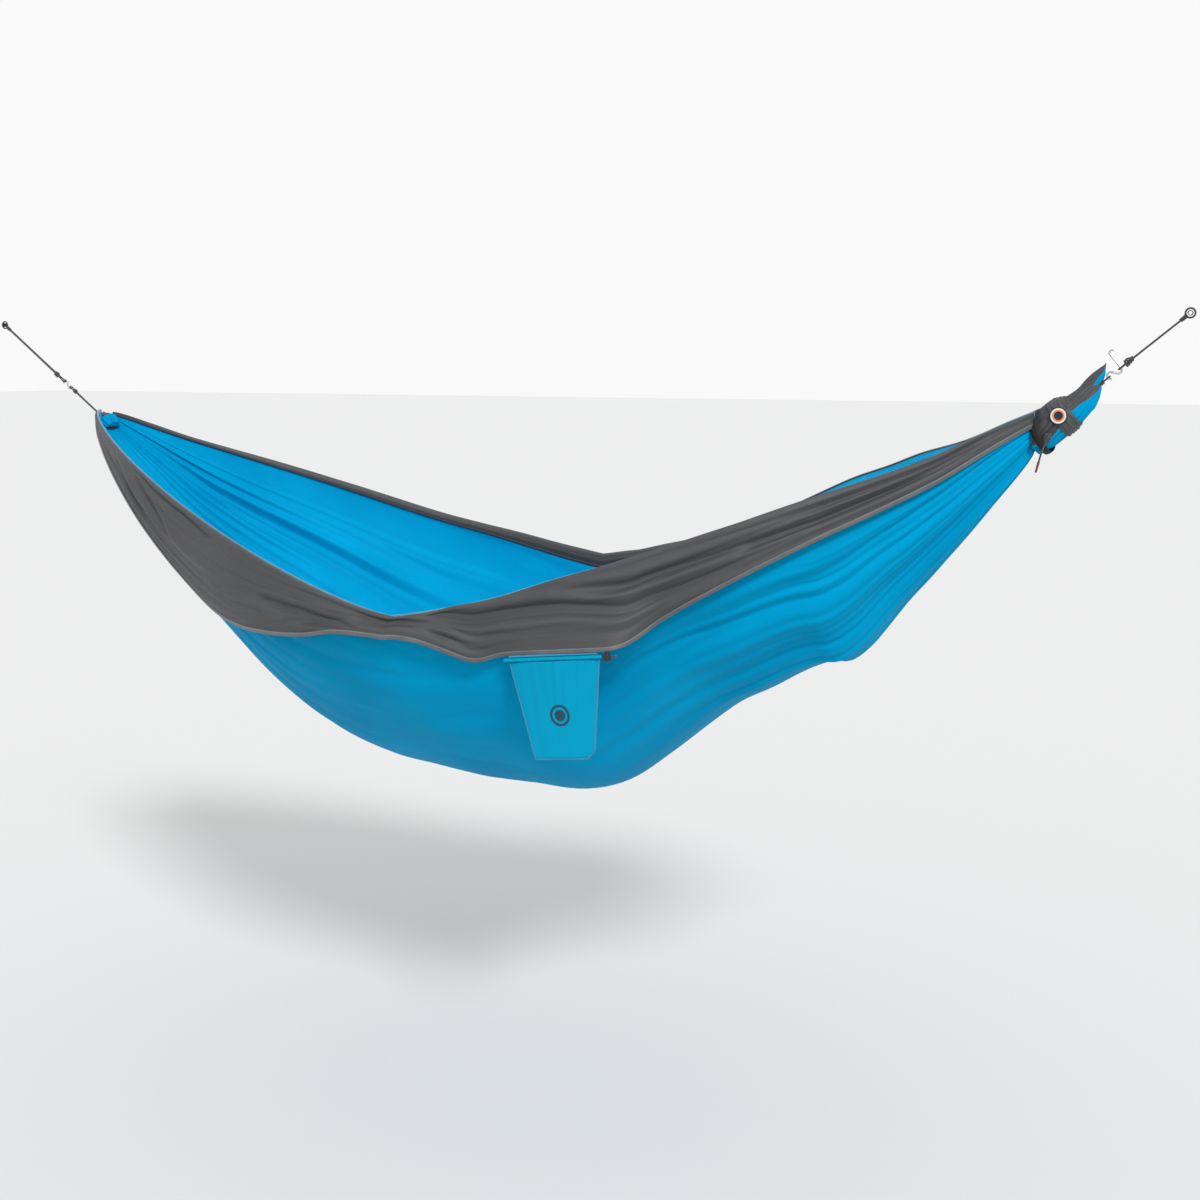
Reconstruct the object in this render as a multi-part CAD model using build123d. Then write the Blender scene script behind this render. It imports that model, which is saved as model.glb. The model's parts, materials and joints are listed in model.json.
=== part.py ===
from build123d import *
import math
import os

# A camping hammock of three nylon panels, hung from two rope slings.
# Millimetres. X runs from the left anchor to the right one, Z is up, -Y is the front side.
# The origin is the centre of the left anchor bush.

# Driving dimensions
anchor_span = 3240
left_gather_x = 368
left_gather_z = -266
right_gather_x = 2944
right_gather_z = -240
left_bunch = 24
right_bunch = 38
mid_half_spread = 545
fold_sag = 408
keel_sag = 918
cloth = 2.4
station_count = 40

# Edge panels, which hang outside the folds
seam_width = 3.5
seam_height = 5
edge_drop = 195
edge_gap = 30
pouch_pull = 200
hem_height = 9
hem_thickness = 4.4

# Slings, hooks and gather cords, placed along the straight line of pull at each end
bush_bore = 8
bush_diameter = 11
bush_length = 10
eye_radius = 9.6
rope = 4
gather_rope = 3.4
strand_gap = 0.4
hook_wire = 4.4
hook_loop = 7.5
hook_loop_spacing = 18
hook_length = 2 * hook_loop + hook_loop_spacing
rope_slack = 1.4

# Pouch, hung by its mouth from the front hem
pouch_centre = (2048, -528, -718)
pouch_tilt = 6.7
pouch_top_half = 106
pouch_bottom_half = 69
pouch_height = 222
pouch_cloth = 1.6
pouch_side = 5
pouch_seam = 3
hinge_gap = 3.5
tape_thickness = 0.8
channel_half = 118
channel_radius = 4.3
channel_bore = 3.2
channel_drop = 5
drawcord = 3
tail_end = 148
lock_x = 129
lock_radius = 7
lock_top = 7
lock_bottom = -10
lock_floor = 2
lock_bore = 4.2
button_radius = 4.2
button_top = 11
button_foot = -3.4
slot_bottom = -1.9
slot_top = 5.1

# How the bed departs from an even shape: (place, rise) of each fold, (x, rise) of the keel.
# A place runs from -1 at the left gather to 1 at the right one.
front_lean = ((-1, 0), (0, 0), (0.1, -6), (0.2, -15), (0.3, -17), (0.4, -26), (0.5, -32), (0.6, -40),
              (0.7, -44), (0.8, -47), (0.87, -42), (0.93, -26), (0.97, -19), (1, -7))
rear_lean = ((-1, -10), (-0.95, -30), (-0.88, -46), (-0.75, -54), (-0.55, -51), (-0.4, -44), (-0.25, -27),
             (-0.1, -18), (0.1, -14), (0.4, -12), (0.5, -4), (0.6, 2), (0.68, -3), (0.75, -4), (0.84, -14),
             (0.92, -9), (1, -2))
keel_trim = ((300, 0), (900, 0), (1100, -12), (1250, -12), (1400, -2), (1520, 6), (1650, 2), (1780, -6),
             (1900, -18), (2000, -15), (2100, -3), (2200, 8), (2280, 14), (2360, 12), (2440, 4), (2500, -4),
             (2550, -20), (2600, -22), (2635, -16), (2670, -5), (2710, 4), (2755, 12), (2850, 20), (2900, 14),
             (2944, 0))
# How far below its fold the front panel's hem hangs, at each place
front_drops = ((-1, 11), (-0.9, 55), (-0.8, 118), (-0.7, 178), (-0.6, 222), (-0.5, 236), (-0.4, 217),
               (-0.3, 172), (-0.2, 119), (-0.1, 60), (0, 34), (0.06, 48), (0.11, 80), (0.19, 138),
               (0.285, 166), (0.37, 175), (0.45, 150), (0.515, 126), (0.6, 100), (0.68, 82), (0.76, 66),
               (0.83, 53), (0.91, 40), (1, 19))

os.makedirs("parts", exist_ok=True)


def save(shape, name):
    """Write one node and print its size."""
    export_step(shape, "parts/" + name + ".step")
    print(name, round(shape.volume, 1))


# ---- the two lines of pull -------------------------------------------------

def pull_line(anchor, gather):
    """Unit vectors along a line of pull, away from its anchor, and across it, upwards."""
    along = (Vector(*gather) - Vector(*anchor)).normalized()
    across = Vector(-along.Z, 0, along.X)
    if across.Z < 0:
        across = across * -1
    return Vector(*anchor), along, across


left_pull = pull_line((0, 0, 0), (363, 0, -268))
right_pull = pull_line((anchor_span, 0, 0), (anchor_span - 282, 0, -240))


def on_pull(pull, distance, up=0, side=0):
    """A point at a distance along a line of pull."""
    anchor, along, across = pull
    return anchor + along * distance + across * up + Vector(0, side, 0)


def across_plane(pull, distance, up=0):
    """A plane square to a line of pull; its x axis is world Y."""
    return Plane(on_pull(pull, distance, up), x_dir=(0, 1, 0), z_dir=pull[1])


# ---- cords -----------------------------------------------------------------

def bend_radii(points, name):
    """As large an arc at each corner as its shorter run has room for."""
    radii = []
    for before, here, after in zip(points, points[1:], points[2:]):
        turn = (here - before).get_angle(after - here)
        run = min((here - before).length, (after - here).length)
        radii.append(0.45 * run / math.tan(math.radians(turn) / 2))
    print(name, "bend radii", [round(radius, 1) for radius in radii])
    return radii


def cord_tube(points, diameter, name):
    """A round cord along straight runs joined by tangent arcs."""
    radii = bend_radii(points, name)
    path = FilletPolyline(*points, radius=radii)
    section = Plane(origin=path @ 0, z_dir=path % 0) * Circle(diameter / 2)
    tube = sweep(section, path=path)
    expected = math.pi * diameter ** 2 / 4 * path.length
    print(name, "length", round(path.length, 1), "volume ratio", round(tube.volume / expected, 4))
    return tube


def loop_points(pull, start, neck, mouth, wire, spread, clearance, turn_side):
    """Two strands from start that open beyond neck and pass round a hook wire."""
    reach = hook_wire / 2 + clearance + spread
    bend = wire + turn_side * reach
    narrow = spread + strand_gap / 2
    half = [(start, narrow), (neck, narrow), (mouth, reach), (bend, reach)]
    front = [on_pull(pull, distance, side=-side) for distance, side in half]
    back = [on_pull(pull, distance, side=side) for distance, side in reversed(half)]
    return front + back


def strand_bore(pull, start, end, side, diameter):
    """The space that one straight strand takes, for cutting a knot."""
    plane = Plane(on_pull(pull, start, side=side), z_dir=pull[1])
    return plane * Cylinder(diameter / 2, end - start, align=(Align.CENTER, Align.CENTER, Align.MIN))


def strand_pair(pull, start, end, diameter):
    """Both strands of a sling or a gather cord where they lie side by side."""
    side = diameter / 2 + strand_gap / 2
    front = strand_bore(pull, start, end, -side, diameter)
    return front + strand_bore(pull, start, end, side, diameter)


# ---- anchors, slings, hooks ------------------------------------------------

def anchor_bush(pull):
    """A short round bush with a through bore along Y, its edges eased."""
    bush = Rot(90, 0, 0) * Cylinder(bush_diameter / 2, bush_length)
    bush = chamfer(bush.edges().filter_by(GeomType.CIRCLE), 0.5)
    bore = Rot(90, 0, 0) * Cylinder(bush_bore / 2, bush_length * 2)
    return Pos(*pull[0]) * (bush - bore)


def anchor_knot(pull, start, length, wide, narrow):
    """A tapered whipping between the rope eye and the two strands."""
    ends = [across_plane(pull, start) * Circle(wide), across_plane(pull, start + length) * Circle(narrow)]
    return loft(ends)


def anchor_eye(pull, knot):
    """The rope's eye, a ring round the bush with room to swing on it, closed by the knot."""
    ring = Pos(*pull[0]) * Rot(90, 0, 0) * Torus(eye_radius, rope / 2)
    return ring - knot


def hook_path(pull, wire, tail):
    """Centre line of an S-hook: two open loops joined by a slanting shank, one loop with a tall end."""
    first = wire + hook_loop
    second = first + hook_loop_spacing
    lean = math.degrees(math.acos(2 * hook_loop / hook_loop_spacing))
    flip = -1 if tail else 1
    curl = 5.5

    def on_loop(centre, angle):
        turn = math.radians(angle)
        return on_pull(pull, centre + hook_loop * math.cos(turn), flip * hook_loop * math.sin(turn))

    leave = on_loop(first, lean)
    meet = on_loop(second, 180 + lean)
    near_arc = ThreePointArc(on_loop(first, 180), on_loop(first, 90 + lean / 2), leave)
    far_arc = ThreePointArc(meet, on_loop(second, 320), on_loop(second, 425))
    if tail:
        rise = on_pull(pull, wire, tail)
        crown = on_pull(pull, wire - curl, tail + curl)
        curl_arc = ThreePointArc(on_pull(pull, wire - 2 * curl, tail), crown, rise)
        start = [curl_arc, Line(rise, on_loop(first, 180))]
    else:
        start = [ThreePointArc(on_loop(first, 245), on_loop(first, 212), on_loop(first, 180))]
    return Wire(start + [near_arc, Line(leave, meet), far_arc])


def s_hook(pull, wire, tail=0):
    """An S-hook bent from round wire."""
    path = hook_path(pull, wire, tail)
    section = Plane(origin=path @ 0, z_dir=path % 0) * Circle(hook_wire / 2)
    return sweep(section, path=path)


# Places along the left line of pull
left_places = dict(knot=8.5, knot_length=18, strands=26.5, neck=250, mouth=262, wire=266)
left_gather = dict(knot=310, knot_length=12, neck=306.5, mouth=302.5, end=428)

# Places along the right line of pull
right_places = dict(knot=8.5, knot_length=16, strands=24.5, neck=165, mouth=169.5, wire=171)
right_gather = dict(knot=214, knot_length=13, neck=210, mouth=206.5, end=240)


def sling(pull, places, side_name):
    """The rope sling: eye and whipping at the anchor, two strands, the bend round the hook."""
    knot = anchor_knot(pull, places["knot"], places["knot_length"], 5.6, 4.2)
    save(knot, side_name + "_anchor_knot")
    save(anchor_eye(pull, knot), side_name + "_anchor_eye")
    save(anchor_bush(pull), side_name + "_anchor_bush")
    route = loop_points(pull, places["strands"], places["neck"], places["mouth"],
                        places["wire"], rope / 2, rope_slack, 1)
    save(cord_tube(route, rope, side_name + "_sling_rope"), side_name + "_sling_rope")


def gather_cord(pull, places, wire, side_name):
    """The cord that draws the end channel together and loops over the hook."""
    crossing = wire + hook_length
    route = loop_points(pull, places["end"], places["neck"], places["mouth"],
                        crossing, gather_rope / 2, rope_slack, -1)
    save(cord_tube(route, gather_rope, side_name + "_gather_cord"), side_name + "_gather_cord")
    start = across_plane(pull, places["knot"])
    body = start * Cylinder(6.5, places["knot_length"], align=(Align.CENTER, Align.CENTER, Align.MIN))
    body = fillet(body.edges().filter_by(GeomType.CIRCLE), 3)
    strands = strand_pair(pull, places["knot"] - 1, places["end"], gather_rope)
    save(body - strands, side_name + "_gather_knot")


def left_sling_knot():
    """A round stopper knot on the rear strand, where the rope's two ends are joined."""
    start = across_plane(left_pull, 227, -2)
    knot = start * Cylinder(7.2, 16, align=(Align.CENTER, Align.CENTER, Align.MIN))
    knot = fillet(knot.edges().filter_by(GeomType.CIRCLE), 3)
    return knot - strand_pair(left_pull, 226, 244, rope)


def right_sling_knot():
    """A flat triangular knot that widens towards the hook."""
    narrow = across_plane(right_pull, 139) * Ellipse(5.5, 5)
    middle = across_plane(right_pull, 152) * Ellipse(9, 9.5)
    wide = across_plane(right_pull, 161.5) * Ellipse(8, 12.5)
    knot = loft([narrow, middle, wide])
    return knot - strand_pair(right_pull, 130, 163.5, rope)


sling(left_pull, left_places, "left")
sling(right_pull, right_places, "right")
save(left_sling_knot(), "left_sling_knot")
save(right_sling_knot(), "right_sling_knot")
save(s_hook(left_pull, left_places["wire"]), "left_s_hook")
save(s_hook(right_pull, right_places["wire"], tail=36), "right_s_hook")
gather_cord(left_pull, left_gather, left_places["wire"], "left")
gather_cord(right_pull, right_gather, right_places["wire"], "right")


# ---- the shape of the bed --------------------------------------------------

def from_table(table, value):
    """The value that a table of pairs gives, in straight lines between its entries."""
    for (low, first), (high, second) in zip(table, table[1:]):
        if value <= high:
            return first + (second - first) * (value - low) / (high - low)
    return table[-1][1]


def place_x(place):
    return (left_gather_x + right_gather_x) / 2 + (right_gather_x - left_gather_x) / 2 * place


def blend_ends(place, left, right):
    return left + (right - left) * (place + 1) / 2


def bunch(place):
    return blend_ends(place, left_bunch, right_bunch)


def half_spread(place):
    """Half the width between the two folds."""
    return bunch(place) + (mid_half_spread - bunch(place)) * (1 - place * place) ** 0.8


def lean(place, side):
    """How far the front (-1) or rear (1) fold stands above the even height."""
    return from_table(front_lean if side < 0 else rear_lean, place)


def even_height(place):
    """Height that both folds would have in an even bed."""
    sag = (1 - abs(place) ** 1.265) ** 1.193
    end = blend_ends(place, left_gather_z, right_gather_z)
    return end + bunch(place) * (1 - sag) - fold_sag * sag


def fold_height(place, side):
    return even_height(place) + lean(place, side)


def keel_height(place):
    """Height of the lowest line of the bed."""
    sag = (1 - abs(place) ** 1.62) ** 0.793
    end = blend_ends(place, left_gather_z, right_gather_z)
    return end - bunch(place) * (1 - sag) - keel_sag * sag + from_table(keel_trim, place_x(place))


def bed_depth(place):
    return even_height(place) - keel_height(place)


def bed_point(place, angle, outset=0):
    """A point (y, z) of the bed's section; -90 is the front fold, 0 the keel, 90 the rear fold."""
    turn = math.radians(angle)
    across = (half_spread(place) + outset) * math.copysign(abs(math.sin(turn)) ** 1.22, turn)
    down = (bed_depth(place) + outset) * max(math.cos(turn), 0) ** 1.22
    return across, even_height(place) + lean(place, turn) * math.sin(turn) ** 2 - down


def bed_half_width(place, drop, side):
    """Half the bed's width at a drop below one of its folds."""
    share = 0
    for _ in range(3):
        even_drop = drop - lean(place, side) * share ** 2
        share = min(max(even_drop / bed_depth(place), 0), 1) ** (1 / 1.22)
    return half_spread(place) * math.sqrt(1 - share * share) ** 1.22


places = [-math.cos(math.pi * step / station_count) for step in range(station_count + 1)]


def section_wire(place, outline):
    """A closed wire at one place along the bed from (y, z) curves and corners."""
    x = place_x(place)
    edges = []
    for curve in outline:
        points = [Vector(x, y, z) for y, z in curve]
        edges.append(Line(*points) if len(points) == 2 else Spline(*points))
    return Wire(edges)


def loft_bed(outline_at):
    """Ruled loft through the sections that outline_at gives for each place."""
    return Solid.make_loft([section_wire(place, outline_at(place)) for place in places], ruled=True)


def closed_band(outer, inner):
    """Outline of a strip of cloth between two curves."""
    return [outer, [outer[-1], inner[-1]], inner[::-1], [inner[0], outer[0]]]


def centre_outline(place):
    angles = range(-90, 91, 15)
    outer = [bed_point(place, angle, 0) for angle in angles]
    inner = [bed_point(place, angle, -cloth) for angle in angles]
    return closed_band(outer, inner)


# ---- edge panels -----------------------------------------------------------

def pouch_share(place):
    """How far the front hem is pulled straight by the pouch, 0 to 1."""
    return math.exp(-((place_x(place) - pouch_centre[0]) / pouch_pull) ** 8)


def edge_fall(place, side):
    """Height of an edge panel from its fold down to its hem; the front one is pinched near the middle."""
    if side < 0:
        return from_table(front_drops, place)
    return edge_drop * (1 - abs(place) ** 3) + 0.5 * bunch(place)


def hem_point(place, side):
    """Where the edge panel's cloth ends and its hem begins."""
    drop = edge_fall(place, side)
    stand_off = 9 + edge_gap * (1 - place ** 4)
    across = bed_half_width(place, drop, side) + stand_off
    height = fold_height(place, side) - drop
    if side < 0:
        share = pouch_share(place)
        line = pouch_centre[2] + math.tan(math.radians(pouch_tilt)) * (place_x(place) - pouch_centre[0])
        height += share * (line + hem_height + hinge_gap - height)
        across += share * (-pouch_centre[1] - across)
    return side * across, height


def edge_curve(place, side):
    """The edge panel's middle line from the seam, over the fold and down to the hem."""
    fold = half_spread(place)
    top = fold_height(place, side)
    end_y, end_z = hem_point(place, side)
    scale = 0.45 + 0.55 * (1 - place ** 4)
    first = (side * (fold + seam_width), top + seam_height / 2)
    crest = (side * (fold + seam_width + 7 * scale), top + seam_height / 2)
    fall = top - end_z
    points = [first, crest]
    for part in (0.35, 0.7):
        drop = part * fall
        stand_off = 9 + (edge_gap * (1 - place ** 4)) * part
        width = bed_half_width(place, drop, side) + stand_off
        width += part ** 2 * (abs(end_y) - bed_half_width(place, fall, side) - stand_off)
        points.append((side * max(width, 0), top - drop))
    return points + [(end_y, end_z)]


def offset_curve(points, amount):
    """Points moved sideways from their line."""
    moved = []
    last = len(points) - 1
    for index, (y, z) in enumerate(points):
        before = points[max(index - 1, 0)]
        after = points[min(index + 1, last)]
        run = math.hypot(after[0] - before[0], after[1] - before[1])
        normal = (-(after[1] - before[1]) / run, (after[0] - before[0]) / run)
        moved.append((y + normal[0] * amount, z + normal[1] * amount))
    return moved


def edge_outline(place, side):
    curve = edge_curve(place, side)
    return closed_band(offset_curve(curve, cloth / 2), offset_curve(curve, -cloth / 2))


def hem_outline(place, side):
    """A thicker strip that carries on from the edge panel's end."""
    curve = edge_curve(place, side)
    (y0, z0), (y1, z1) = curve[-2], curve[-1]
    run = math.hypot(y1 - y0, z1 - z0)
    along = ((y1 - y0) / run, (z1 - z0) / run)
    half = hem_thickness / 2
    normal = (-along[1] * half, along[0] * half)
    far = (y1 + along[0] * hem_height, z1 + along[1] * hem_height)
    corners = [(y1 + normal[0], z1 + normal[1]), (far[0] + normal[0], far[1] + normal[1]),
               (far[0] - normal[0], far[1] - normal[1]), (y1 - normal[0], z1 - normal[1])]
    return [[corners[index], corners[(index + 1) % 4]] for index in range(4)]


def seam_outline(place, side):
    """The flat-felled seam that stands on the centre panel's edge."""
    fold = half_spread(place)
    top = fold_height(place, side)
    inner, outer = side * (fold - cloth), side * (fold + seam_width)
    corners = [(inner, top), (outer, top), (outer, top + seam_height), (inner, top + seam_height)]
    return [[corners[index], corners[(index + 1) % 4]] for index in range(4)]


save(loft_bed(centre_outline), "centre_panel")
for side_name, side in (("front", -1), ("rear", 1)):
    save(loft_bed(lambda place: edge_outline(place, side)), side_name + "_edge_panel")
    save(loft_bed(lambda place: seam_outline(place, side)), side_name + "_seam")
    save(loft_bed(lambda place: hem_outline(place, side)), side_name + "_hem")


# ---- gathered ends ---------------------------------------------------------

def upright_ellipse(x, z, half_y, half_z):
    return Plane((x, 0, z), x_dir=(0, 1, 0), z_dir=(1, 0, 0)) * Ellipse(half_y, half_z)


def left_channel():
    """The sewn end channel, drawn up small by the gather cord."""
    wide = upright_ellipse(left_gather_x, left_gather_z, 32, 22)
    middle = across_plane(left_pull, 441) * Ellipse(22, 17)
    tip = across_plane(left_pull, 430) * Ellipse(11, 9)
    return loft([wide, middle, tip])


def neck_solid(growth=0):
    """The long gathered neck at the right end, from the bed to the gather cord."""
    sections = [upright_ellipse(right_gather_x, right_gather_z + 1, 40 + growth, 40 + growth)]
    for distance, up, half_y, half_n in ((345, 0, 38, 38), (318, 1, 37, 39), (290, 3, 31, 33),
                                         (265, 3, 20, 24), (242, 0, 8, 8)):
        sections.append(across_plane(right_pull, distance, up) * Ellipse(half_y + growth, half_n + growth))
    return loft(sections)


def neck_horn():
    """The free corner of the neck that stands up beside the hook."""
    root = across_plane(right_pull, 268, 14) * Ellipse(9, 12)
    middle = across_plane(right_pull, 226, 25) * Ellipse(5, 8)
    tip = across_plane(right_pull, 190, 33) * Ellipse(1.6, 2)
    return loft([root, middle, tip])


def slab(distance, thickness, lean):
    """A wide slice across the neck, leant in the plane of X and Z."""
    block = Box(140, 140, thickness)
    return across_plane(right_pull, distance) * Rot(lean, 0, 0) * block


neck = neck_solid()
save(left_channel(), "left_end_channel")
save(neck + neck_horn(), "right_end_neck")
neck_all = neck + neck_horn()
band = (neck_solid(2.6) & slab(318, 38, 5)) - neck_all
save(band, "neck_band")
strap = (neck_solid(4.2) & slab(366, 9, -18)) - neck_all
save(strap, "neck_strap")
badge_blank = Pos(2994, -40.5, -211) * Rot(90, 0, 0) * Cylinder(18.5, 6)
save(badge_blank - neck_solid(2.6), "neck_badge")


def lashing():
    """The turns of gather cord round the left channel."""
    ring = across_plane(left_pull, 434) * (Cylinder(17, 7) - Cylinder(13.6, 7))
    return ring - left_channel()


save(lashing(), "left_lashing")


# ---- pouch -----------------------------------------------------------------

tilt = math.radians(pouch_tilt)
pouch_along = (math.cos(tilt), 0, math.sin(tilt))
pouch_up = (-math.sin(tilt), 0, math.cos(tilt))
pouch_frame = Plane(pouch_centre, x_dir=pouch_along, z_dir=pouch_up)


def save_on_pouch(shape, name):
    """Write a node that was made in the pouch's own frame."""
    save(pouch_frame.location * shape, name)


def rod(start, end, radius, height):
    """A round bar along the pouch's x axis."""
    length = end - start
    return Pos((start + end) / 2, 0, height) * Rot(0, 90, 0) * Cylinder(radius, length)


def post(bottom, top, radius):
    """A round upright bar through the cord lock's axis, measured from the drawcord."""
    middle = (bottom + top) / 2 - channel_drop
    return Pos(lock_x, 0, middle) * Cylinder(radius, top - bottom)


def pouch_levels():
    """Height, half width and bulge of the pouch's sections, from mouth to bottom."""
    top = -2 * channel_drop
    levels = []
    for step in range(6):
        share = step / 5
        half = pouch_top_half + (pouch_bottom_half - pouch_top_half) * share
        levels.append((top - (pouch_height + top) * share, half, 8 - 7 * share ** 1.5))
    return levels


def pouch_wall(side):
    """The pouch's front (-1) or back (1) panel, bulged away from the other."""
    wires = []
    for height, half, bulge in pouch_levels():
        inner = []
        for part in (-1, -0.5, 0, 0.5, 1):
            depth = pouch_side + side * (0.2 + bulge * (1 - part * part))
            inner.append((part * half, depth))
        outer = [(x, y + side * pouch_cloth) for x, y in inner]
        edges = []
        for curve in closed_band(outer, inner):
            points = [Vector(x, y, height) for x, y in curve]
            edges.append(Line(*points) if len(points) == 2 else Spline(*points))
        wires.append(Wire(edges))
    return Solid.make_loft(wires, ruled=True)


def pouch_side_seam(side):
    """The bound seam down one side of the pouch."""
    ends = []
    for height, half, bulge in (pouch_levels()[0], pouch_levels()[-1]):
        centre = side * (half + pouch_seam / 2)
        ends.append(Plane((centre, pouch_side, height)) * Rectangle(pouch_seam, 5))
    return loft(ends)


def cord_lock_body():
    """A round barrel with a well for the button and a cross bore for the drawcord."""
    barrel = post(lock_bottom, lock_top, lock_radius)
    barrel = fillet(barrel.edges().filter_by(GeomType.CIRCLE), 1.6)
    well = post(lock_bottom + lock_floor, lock_top + 1, button_radius + 0.4)
    cross_bore = rod(lock_x - 10, lock_x + 10, lock_bore / 2, -channel_drop)
    return barrel - well - cross_bore


def cord_lock_button():
    """The spring button; its slot grips the drawcord until it is pressed."""
    button = post(button_foot, button_top, button_radius)
    button = fillet(button.faces().sort_by(Axis.Z)[-1].edges(), 1.2)
    slot_height = slot_top - slot_bottom
    slot = Pos(lock_x, 0, (slot_top + slot_bottom) / 2 - channel_drop) * Box(12, drawcord + 1, slot_height)
    return button - slot


save_on_pouch(pouch_wall(-1), "pouch_front")
save_on_pouch(pouch_wall(1), "pouch_back")
save_on_pouch(pouch_side_seam(-1), "pouch_left_seam")
save_on_pouch(pouch_side_seam(1), "pouch_right_seam")
bottom_width = 2 * (pouch_bottom_half + pouch_seam)
bottom_seam = Pos(0, pouch_side, -pouch_height - 2) * Box(bottom_width, 6, 4)
save_on_pouch(bottom_seam, "pouch_bottom_seam")
channel = rod(-channel_half, channel_half, channel_radius, -channel_drop)
channel -= rod(-channel_half - 1, channel_half + 1, channel_bore, -channel_drop)
save_on_pouch(channel, "pouch_mouth_channel")
cord = rod(-channel_half + 4, tail_end, drawcord / 2, -channel_drop)
save_on_pouch(cord, "pouch_drawcord")
save_on_pouch(Pos(tail_end, 0, -channel_drop) * Sphere(3.2) - cord, "drawcord_knot")
hinge_tape = Pos(0, 0, hinge_gap / 2 - 0.4) * Box(2 * pouch_top_half, tape_thickness, hinge_gap - 1.2)
save_on_pouch(hinge_tape, "pouch_hinge_tape")
save_on_pouch(cord_lock_body(), "cord_lock_body")
save_on_pouch(cord_lock_button(), "cord_lock_button")
spring = post(lock_bottom + lock_floor + 0.1, button_foot - 0.1, 3.4)
spring -= post(lock_bottom, button_foot, 2.4)
save_on_pouch(spring, "cord_lock_spring")


# ---- tie tail at the neck --------------------------------------------------

strap_knot = Pos(2974, -44, -258) * Rot(0, 22, 0) * Box(17, 12, 20)
strap_knot = fillet(strap_knot.edges(), 3) - neck_solid(4.2) - neck_all
save(strap_knot, "strap_knot")
tail_route = [Vector(2970.1, -45, -267.6), Vector(2965, -45.5, -281),
              Vector(2961.5, -45, -294), Vector(2958, -44, -308)]
save(cord_tube(tail_route, rope, "strap_tail"), "strap_tail")
tip_plane = Plane(tail_route[-1], z_dir=tail_route[-1] - tail_route[-2])
tip = tip_plane * Cylinder(2.8, 24, align=(Align.CENTER, Align.CENTER, Align.MIN))
save(fillet(tip.edges().filter_by(GeomType.CIRCLE), 0.8), "strap_tail_tip")
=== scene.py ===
import functools
import json
import math

import bmesh
import bpy
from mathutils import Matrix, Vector, noise


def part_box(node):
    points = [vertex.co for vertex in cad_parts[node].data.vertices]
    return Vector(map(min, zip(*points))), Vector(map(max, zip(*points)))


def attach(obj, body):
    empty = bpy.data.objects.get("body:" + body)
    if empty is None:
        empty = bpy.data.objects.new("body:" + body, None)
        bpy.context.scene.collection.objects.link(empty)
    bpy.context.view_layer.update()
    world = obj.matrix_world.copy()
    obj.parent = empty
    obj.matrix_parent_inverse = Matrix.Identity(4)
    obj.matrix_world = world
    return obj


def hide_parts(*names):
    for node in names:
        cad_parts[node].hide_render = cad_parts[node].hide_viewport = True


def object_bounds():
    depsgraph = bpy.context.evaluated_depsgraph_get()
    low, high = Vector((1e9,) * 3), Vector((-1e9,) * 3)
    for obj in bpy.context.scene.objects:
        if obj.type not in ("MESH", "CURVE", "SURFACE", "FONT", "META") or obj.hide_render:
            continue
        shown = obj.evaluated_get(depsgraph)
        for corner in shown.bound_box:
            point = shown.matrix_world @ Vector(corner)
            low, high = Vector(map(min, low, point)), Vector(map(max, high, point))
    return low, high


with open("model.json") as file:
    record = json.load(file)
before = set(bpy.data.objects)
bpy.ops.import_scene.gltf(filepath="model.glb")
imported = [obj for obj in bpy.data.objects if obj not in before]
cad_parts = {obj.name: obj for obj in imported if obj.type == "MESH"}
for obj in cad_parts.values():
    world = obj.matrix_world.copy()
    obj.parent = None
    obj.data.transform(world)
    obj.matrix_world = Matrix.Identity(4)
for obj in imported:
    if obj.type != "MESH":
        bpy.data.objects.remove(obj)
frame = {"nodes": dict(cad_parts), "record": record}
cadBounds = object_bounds()
nodes = frame["nodes"]
bodyOf = {node: body for body, members in frame["record"]["behaviour"]["bodies"].items() for node in members}
print("frame loaded with", len(nodes), "nodes")

# Camera, floor and lights
view = {"azimuth": 25.351, "down": 8.833, "distance": 3.889, "lens": 47.49, "lookAt": (1.91, 0.0, -0.68)}
stage = {"floorGap": 0.8, "floorSize": 60.0, "floorColour": (0.6, 0.602, 0.605), "worldStrength": 0.95}
sun = {"from": (0.75, -0.85, 0.85), "strength": 2.3, "angle": 12}


def aim(thing, target):
    direction = Vector(target) - thing.location
    thing.rotation_euler = direction.to_track_quat("-Z", "Y").to_euler()


def link(thing):
    bpy.context.scene.collection.objects.link(thing)
    return thing


def setCamera():
    azimuth, down = math.radians(view["azimuth"]), math.radians(view["down"])
    back = Vector((math.sin(azimuth) * math.cos(down), -math.cos(azimuth) * math.cos(down), math.sin(down)))
    camera = link(bpy.data.objects.new("camera", bpy.data.cameras.new("camera")))
    camera.location = Vector(view["lookAt"]) + back * view["distance"]
    camera.data.lens = view["lens"]
    camera.data.sensor_width = 36
    aim(camera, view["lookAt"])
    bpy.context.scene.camera = camera


def addLights():
    lamp = bpy.data.lights.new("softSun", "SUN")
    lamp.energy = sun["strength"]
    lamp.angle = math.radians(sun["angle"])
    lightObject = link(bpy.data.objects.new("softSun", lamp))
    lightObject.location = Vector(sun["from"]) * 5
    aim(lightObject, (0, 0, 0))
    world = bpy.data.worlds.new("paleRoom")
    world.use_nodes = True
    world.node_tree.nodes["Background"].inputs["Color"].default_value = (1, 1, 1, 1)
    world.node_tree.nodes["Background"].inputs["Strength"].default_value = stage["worldStrength"]
    bpy.context.scene.world = world
    bpy.context.scene.view_settings.view_transform = "Standard"


# Materials. Cloth and cord patterns lie on each piece's own UV, which is in metres.

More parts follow.
